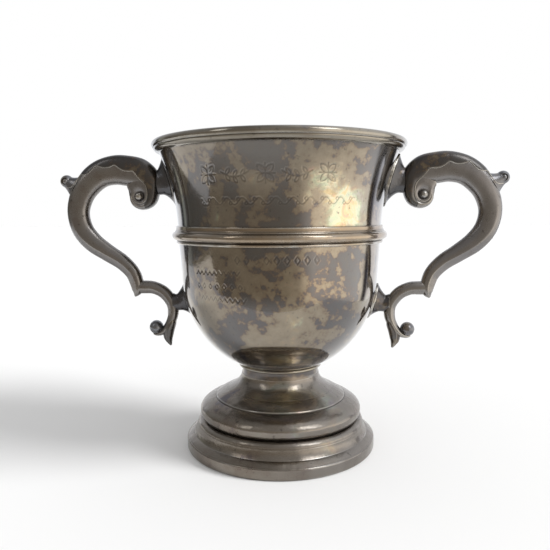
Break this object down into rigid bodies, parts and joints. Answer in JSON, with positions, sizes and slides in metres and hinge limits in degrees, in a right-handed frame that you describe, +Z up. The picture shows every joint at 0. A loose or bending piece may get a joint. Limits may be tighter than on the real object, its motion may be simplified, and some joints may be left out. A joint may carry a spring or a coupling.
{
  "type": "cup trophy",
  "caption": "Small two-handled presentation cup with a round-bottomed flared bowl, girdle, moulded rim, stepped hollow foot and cast scroll handles.",
  "frame": {"origin": "centre of the face that the cup stands on", "axes": "+Z up along the cup axis, +X through the right-hand handle, -Y towards the front"},
  "size_m": [0.1868, 0.1036, 0.127],
  "materials": {
    "foot_silver": "tarnished silver, satin, with brown patina in the coves",
    "collet_silver": "dark tarnished silver in the recess under the bowl",
    "bead_silver": "rubbed silver wire",
    "bowl_silver": "polished silver under blotched brown, grey and faintly iridescent tarnish",
    "girdle_silver": "rubbed silver with golden brown tarnish",
    "rim_silver": "rubbed silver with grey tarnish",
    "mount_silver": "dark tarnished cast silver",
    "leaf_silver": "dark brown tarnished cast silver with a rubbed edge",
    "ball_silver": "dark cast silver with a rubbed crown",
    "handle_silver": "satin tarnished cast silver, rubbed on its ridges"
  },
  "bodies": {
    "root": {"base_band": "foot_silver", "foot_shell": "foot_silver", "collet": "collet_silver", "collet_bead": "bead_silver", "bowl": "bowl_silver", "girdle_moulding": "girdle_silver", "rim_moulding": "rim_silver", "left_upper_mount": "mount_silver", "left_lower_mount": "mount_silver", "left_main_scroll": "handle_silver", "left_leaf_cap": "leaf_silver", "left_thumb_ball": "ball_silver", "left_volute_button_front": "ball_silver", "left_volute_button_back": "ball_silver", "left_lower_scroll": "handle_silver", "left_scroll_ball": "ball_silver", "left_tail_spur": "leaf_silver", "right_upper_mount": "mount_silver", "right_lower_mount": "mount_silver", "right_main_scroll": "handle_silver", "right_leaf_cap": "leaf_silver", "right_thumb_ball": "ball_silver", "right_volute_button_front": "ball_silver", "right_volute_button_back": "ball_silver", "right_lower_scroll": "handle_silver", "right_scroll_ball": "ball_silver", "right_tail_spur": "leaf_silver"}
  },
  "joints": []
}
